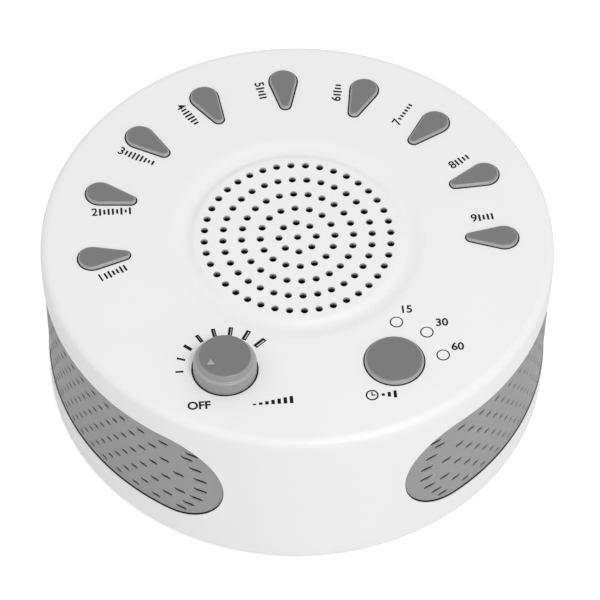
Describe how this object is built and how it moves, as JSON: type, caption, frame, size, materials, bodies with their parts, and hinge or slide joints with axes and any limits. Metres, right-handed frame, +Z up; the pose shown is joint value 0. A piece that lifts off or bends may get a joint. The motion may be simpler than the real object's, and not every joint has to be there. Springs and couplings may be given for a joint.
{
  "type": "white noise sound machine",
  "caption": "Round table-top sound machine with a speaker grille, an arc of teardrop sound keys, a volume knob, a timer button and side grips.",
  "frame": {"origin": "on the table, under the middle of the drum", "axes": "+Z up, +Y to the back where the power inlet is, +X to the right seen from the front"},
  "size_m": [0.15, 0.15, 0.0649],
  "materials": {
    "white_shell": "fine satin moulded",
    "grey_controls": "satin moulded",
    "grey_grip": "soft matt",
    "clear_lens": "smooth, milky",
    "diode": "clear resin",
    "board_green": "solder mask",
    "black_plastic": "matt moulded",
    "pot_metal": "zinc plated",
    "screw_steel": "zinc plated",
    "basket_metal": "black painted steel",
    "plain_steel": "zinc plated",
    "ferrite": "sintered",
    "foam": "foam",
    "spider_cloth": "impregnated weave",
    "black_cloth": "open weave",
    "cone_paper": "pressed pulp",
    "coil_copper": "enamelled winding",
    "capacitor_can": "sleeved can",
    "ribbon_grey": "ribbon cable",
    "wire_red": "insulation",
    "cell_jacket": "printed steel can",
    "contact_nickel": "nickel plated"
  },
  "bodies": {
    "key_1": {"sound_key_1": "grey_controls", "key_plunger_1": "black_plastic"},
    "key_2": {"sound_key_2": "grey_controls", "key_plunger_2": "black_plastic"},
    "key_3": {"sound_key_3": "grey_controls", "key_plunger_3": "black_plastic"},
    "key_4": {"sound_key_4": "grey_controls", "key_plunger_4": "black_plastic"},
    "key_5": {"sound_key_5": "grey_controls", "key_plunger_5": "black_plastic"},
    "key_6": {"sound_key_6": "grey_controls", "key_plunger_6": "black_plastic"},
    "key_7": {"sound_key_7": "grey_controls", "key_plunger_7": "black_plastic"},
    "key_8": {"sound_key_8": "grey_controls", "key_plunger_8": "black_plastic"},
    "key_9": {"sound_key_9": "grey_controls", "key_plunger_9": "black_plastic"},
    "timer": {"timer_button": "grey_controls", "timer_plunger": "black_plastic"},
    "volume": {"volume_knob": "grey_controls", "volume_pot_shaft": "pot_metal"},
    "door": {"battery_door": "white_shell"},
    "cone": {"speaker_cone": "cone_paper", "speaker_dust_cap": "cone_paper", "voice_coil": "coil_copper"},
    "housing": {"top_housing": "white_shell", "bottom_cover": "white_shell", "grip_left": "grey_grip", "grip_right": "grey_grip", "timer_lamp_15": "clear_lens", "timer_lamp_30": "clear_lens", "timer_lamp_60": "clear_lens", "timer_leds": "diode", "control_board": "board_green", "key_switches": "black_plastic", "timer_switch": "black_plastic", "volume_pot": "pot_metal", "board_screws": "screw_steel", "speaker_basket": "basket_metal", "speaker_magnet": "ferrite", "speaker_top_plate": "plain_steel", "speaker_yoke": "plain_steel", "speaker_gasket": "foam", "speaker_surround": "foam", "speaker_spider": "spider_cloth", "speaker_screws": "screw_steel", "grille_cloth": "black_cloth", "main_board": "board_green", "main_board_chips": "black_plastic", "main_board_capacitors": "capacitor_can", "ribbon_cable": "ribbon_grey", "speaker_wires": "wire_red", "battery_wires": "wire_red", "dc_jack": "black_plastic", "battery_cells": "cell_jacket", "battery_springs": "contact_nickel", "battery_contacts": "contact_nickel", "rubber_feet": "foam", "housing_screws": "screw_steel"}
  },
  "joints": [
    {"name": "key_1_press", "type": "slide", "parent": "housing", "child": "key_1", "axis": [0, 0, -1], "range_m": [0, 0.0008], "stiffness_N_per_m": 800, "springref_m": -0.0008},
    {"name": "key_2_press", "type": "slide", "parent": "housing", "child": "key_2", "axis": [0, 0, -1], "range_m": [0, 0.0008], "stiffness_N_per_m": 800, "springref_m": -0.0008},
    {"name": "key_3_press", "type": "slide", "parent": "housing", "child": "key_3", "axis": [0, 0, -1], "range_m": [0, 0.0008], "stiffness_N_per_m": 800, "springref_m": -0.0008},
    {"name": "key_4_press", "type": "slide", "parent": "housing", "child": "key_4", "axis": [0, 0, -1], "range_m": [0, 0.0008], "stiffness_N_per_m": 800, "springref_m": -0.0008},
    {"name": "key_5_press", "type": "slide", "parent": "housing", "child": "key_5", "axis": [0, 0, -1], "range_m": [0, 0.0008], "stiffness_N_per_m": 800, "springref_m": -0.0008},
    {"name": "key_6_press", "type": "slide", "parent": "housing", "child": "key_6", "axis": [0, 0, -1], "range_m": [0, 0.0008], "stiffness_N_per_m": 800, "springref_m": -0.0008},
    {"name": "key_7_press", "type": "slide", "parent": "housing", "child": "key_7", "axis": [0, 0, -1], "range_m": [0, 0.0008], "stiffness_N_per_m": 800, "springref_m": -0.0008},
    {"name": "key_8_press", "type": "slide", "parent": "housing", "child": "key_8", "axis": [0, 0, -1], "range_m": [0, 0.0008], "stiffness_N_per_m": 800, "springref_m": -0.0008},
    {"name": "key_9_press", "type": "slide", "parent": "housing", "child": "key_9", "axis": [0, 0, -1], "range_m": [0, 0.0008], "stiffness_N_per_m": 800, "springref_m": -0.0008},
    {"name": "timer_press", "type": "slide", "parent": "housing", "child": "timer", "axis": [0, 0, -1], "range_m": [0, 0.001], "stiffness_N_per_m": 800, "springref_m": -0.0008},
    {"name": "volume_turn", "type": "hinge", "parent": "housing", "child": "volume", "pos_m": [-0.0241, -0.04698, 0.058], "axis": [0, 0, 1], "range_deg": [-170, 26]},
    {"name": "battery_door_hinge", "type": "hinge", "parent": "housing", "child": "door", "pos_m": [0, -0.0275, 0.0027], "axis": [-1, 0, 0], "range_deg": [0, 95]},
    {"name": "cone_stroke", "type": "slide", "parent": "housing", "child": "cone", "axis": [0, 0, 1], "range_m": [-0.001, 0.001], "stiffness_N_per_m": 1500, "deforming": ["speaker_surround", "speaker_spider"]}
  ]
}
